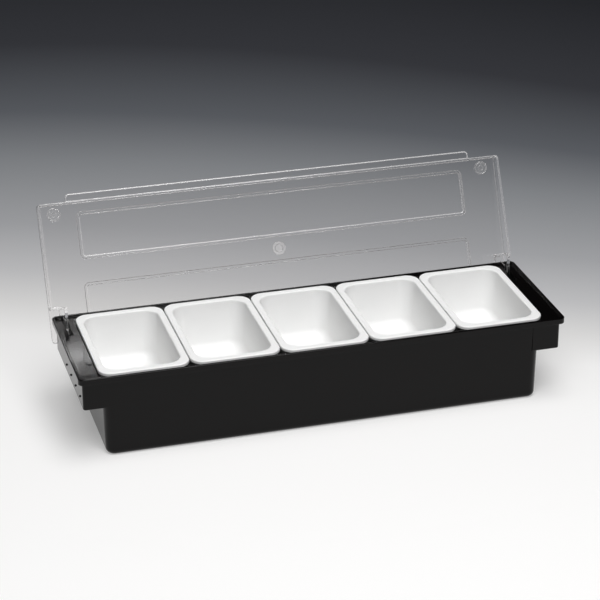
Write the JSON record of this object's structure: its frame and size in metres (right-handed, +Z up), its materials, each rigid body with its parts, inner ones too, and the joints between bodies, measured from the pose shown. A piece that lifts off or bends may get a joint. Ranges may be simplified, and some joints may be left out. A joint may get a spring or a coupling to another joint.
{
  "type": "condiment caddy",
  "caption": "Bar-top condiment caddy: a black tub with end handles holds lift-out white inserts in a row under a clear hinged lid.",
  "frame": {"origin": "middle of the base's footprint, on the surface that it stands on", "axes": "+X along the length to the right as seen from the front, +Y to the rear where the hinge is, +Z up"},
  "size_m": [0.495, 0.2161, 0.1922],
  "materials": {
    "black_abs": "black ABS, semi-gloss moulded",
    "white_insert": "white gloss moulded",
    "clear_lid": "clear polished moulded plastic"
  },
  "bodies": {
    "base": {"base": "black_abs"},
    "lid": {"lid": "clear_lid"},
    "insert_1": {"insert_1": "white_insert"},
    "insert_2": {"insert_2": "white_insert"},
    "insert_3": {"insert_3": "white_insert"},
    "insert_4": {"insert_4": "white_insert"},
    "insert_5": {"insert_5": "white_insert"}
  },
  "joints": [
    {"name": "lid_hinge", "type": "hinge", "parent": "base", "child": "lid", "pos_m": [0, 0.05805, 0.078], "axis": [-1, 0, 0], "range_deg": [-117, 0]},
    {"name": "insert_1_lift", "type": "slide", "parent": "base", "child": "insert_1", "axis": [0, 0, 1], "range_m": [0, 0.09]},
    {"name": "insert_2_lift", "type": "slide", "parent": "base", "child": "insert_2", "axis": [0, 0, 1], "range_m": [0, 0.09]},
    {"name": "insert_3_lift", "type": "slide", "parent": "base", "child": "insert_3", "axis": [0, 0, 1], "range_m": [0, 0.09]},
    {"name": "insert_4_lift", "type": "slide", "parent": "base", "child": "insert_4", "axis": [0, 0, 1], "range_m": [0, 0.09]},
    {"name": "insert_5_lift", "type": "slide", "parent": "base", "child": "insert_5", "axis": [0, 0, 1], "range_m": [0, 0.09]}
  ]
}
